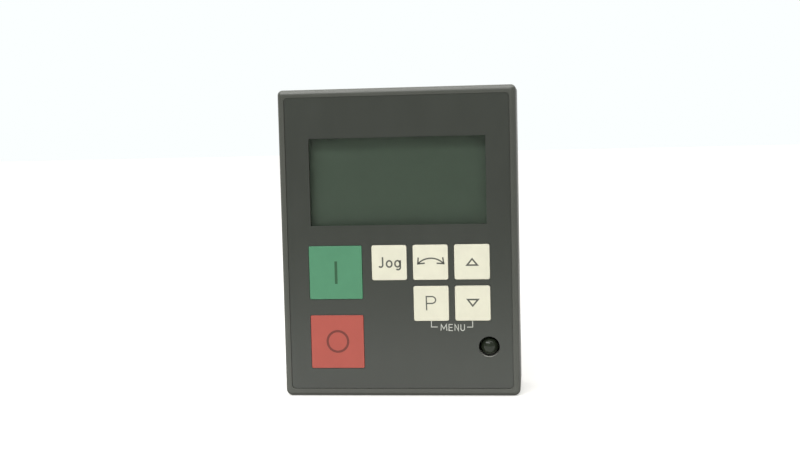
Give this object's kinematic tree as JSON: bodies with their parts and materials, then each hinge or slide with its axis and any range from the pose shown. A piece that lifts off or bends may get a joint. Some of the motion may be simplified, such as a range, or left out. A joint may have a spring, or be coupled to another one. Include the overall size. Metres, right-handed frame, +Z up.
{
  "type": "operator panel",
  "caption": "Plug-in operator panel of a motor drive: text display, start, stop and menu keys, status lamp, and a socket, hooks and sprung catch on its back.",
  "frame": {"origin": "centre of the footprint box on the surface the panel stands on, at its bottom edge", "axes": "+X to the right across the face as a reader sees it, +Y from the face through to the back, +Z up"},
  "size_m": [0.073, 0.029, 0.095],
  "materials": {
    "housing": "fine moulded texture, satin",
    "foil": "fine printed polyester foil, satin",
    "window": "clear flat pane",
    "key_green": "satin",
    "key_red": "satin",
    "key_cream": "satin",
    "label": "blank printed foil",
    "black_plastic": "fine moulded texture",
    "insulator": "moulded",
    "tin": "tinned",
    "steel": "zinc plated",
    "nickel": "nickel plated",
    "gold": "gold flashed",
    "dome_metal": "stamped spring sheet",
    "lcd_frame": "black chromated sheet",
    "lcd_glass": "reflective twisted-nematic cell",
    "lcd_film": "grey-green film, anti-glare",
    "backlight": "milky light guide",
    "zebra": "striped silicone strip",
    "board": "glass-epoxy laminate under solder mask",
    "resin": "potted epoxy",
    "chip_body": "moulded epoxy",
    "ceramic": "sintered ceramic",
    "resistor": "glazed film on ceramic",
    "can": "drawn can",
    "lamp": "tinted moulded epoxy lens",
    "dark_ink": "screen-printed ink",
    "deep_green_ink": "screen-printed ink",
    "deep_red_ink": "screen-printed ink",
    "pale_ink": "screen-printed ink"
  },
  "bodies": {
    "root": {"front_housing": "housing", "rear_cover": "housing", "rating_label": "label", "overlay_foil": "foil", "display_window": "window", "switch_bases": "black_plastic", "switch_covers": "steel", "switch_domes": "dome_metal", "switch_terminals": "tin", "lcd_frame": "lcd_frame", "lcd_polarizer": "lcd_film", "lcd_glass": "lcd_glass", "lcd_backlight": "backlight", "lcd_contact_strips": "zebra", "lcd_board": "board", "lcd_driver_blobs": "resin", "lcd_screws": "steel", "display_header": "insulator", "display_header_pins": "gold", "main_board": "board", "microcontroller": "chip_body", "microcontroller_leads": "tin", "program_memory": "chip_body", "program_memory_leads": "tin", "line_transceivers": "chip_body", "line_transceiver_leads": "tin", "crystal": "nickel", "smoothing_capacitors": "can", "capacitor_bases": "insulator", "voltage_regulator": "chip_body", "chip_resistors": "resistor", "chip_capacitors": "ceramic", "status_lamp": "lamp", "lamp_leads": "tin", "lamp_spacer": "black_plastic", "connector_shell": "nickel", "connector_insulator": "insulator", "connector_contacts": "gold", "connector_standoffs": "nickel", "connector_jackscrews": "nickel", "catch_spring": "steel", "case_screws": "steel", "board_screws": "steel"},
    "run_button": {"run_key": "key_green", "run_switch_stem": "black_plastic"},
    "stop_button": {"stop_key": "key_red", "stop_switch_stem": "black_plastic"},
    "jog_button": {"jog_key": "key_cream", "jog_switch_stem": "black_plastic"},
    "reverse_button": {"reverse_key": "key_cream", "reverse_switch_stem": "black_plastic"},
    "up_button": {"up_key": "key_cream", "up_switch_stem": "black_plastic"},
    "program_button": {"program_key": "key_cream", "program_switch_stem": "black_plastic"},
    "down_button": {"down_key": "key_cream", "down_switch_stem": "black_plastic"},
    "catch": {"release_catch": "black_plastic"}
  },
  "joints": [
    {"name": "run_press", "type": "slide", "parent": "root", "child": "run_button", "axis": [0, 1, 0], "range_m": [0, 0.0003], "stiffness_N_per_m": 6400, "springref_m": -0.00008, "deforming": ["switch_domes"]},
    {"name": "stop_press", "type": "slide", "parent": "root", "child": "stop_button", "axis": [0, 1, 0], "range_m": [0, 0.0003], "stiffness_N_per_m": 6400, "springref_m": -0.00008},
    {"name": "jog_press", "type": "slide", "parent": "root", "child": "jog_button", "axis": [0, 1, 0], "range_m": [0, 0.0003], "stiffness_N_per_m": 6400, "springref_m": -0.00008},
    {"name": "reverse_press", "type": "slide", "parent": "root", "child": "reverse_button", "axis": [0, 1, 0], "range_m": [0, 0.0003], "stiffness_N_per_m": 6400, "springref_m": -0.00008},
    {"name": "up_press", "type": "slide", "parent": "root", "child": "up_button", "axis": [0, 1, 0], "range_m": [0, 0.0003], "stiffness_N_per_m": 6400, "springref_m": -0.00008},
    {"name": "program_press", "type": "slide", "parent": "root", "child": "program_button", "axis": [0, 1, 0], "range_m": [0, 0.0003], "stiffness_N_per_m": 6400, "springref_m": -0.00008},
    {"name": "down_press", "type": "slide", "parent": "root", "child": "down_button", "axis": [0, 1, 0], "range_m": [0, 0.0003], "stiffness_N_per_m": 6400, "springref_m": -0.00008},
    {"name": "catch_slide", "type": "slide", "parent": "root", "child": "catch", "axis": [0, 0, -1], "range_m": [0, 0.0025], "stiffness_N_per_m": 1000, "springref_m": -0.0012, "deforming": ["catch_spring"]}
  ]
}
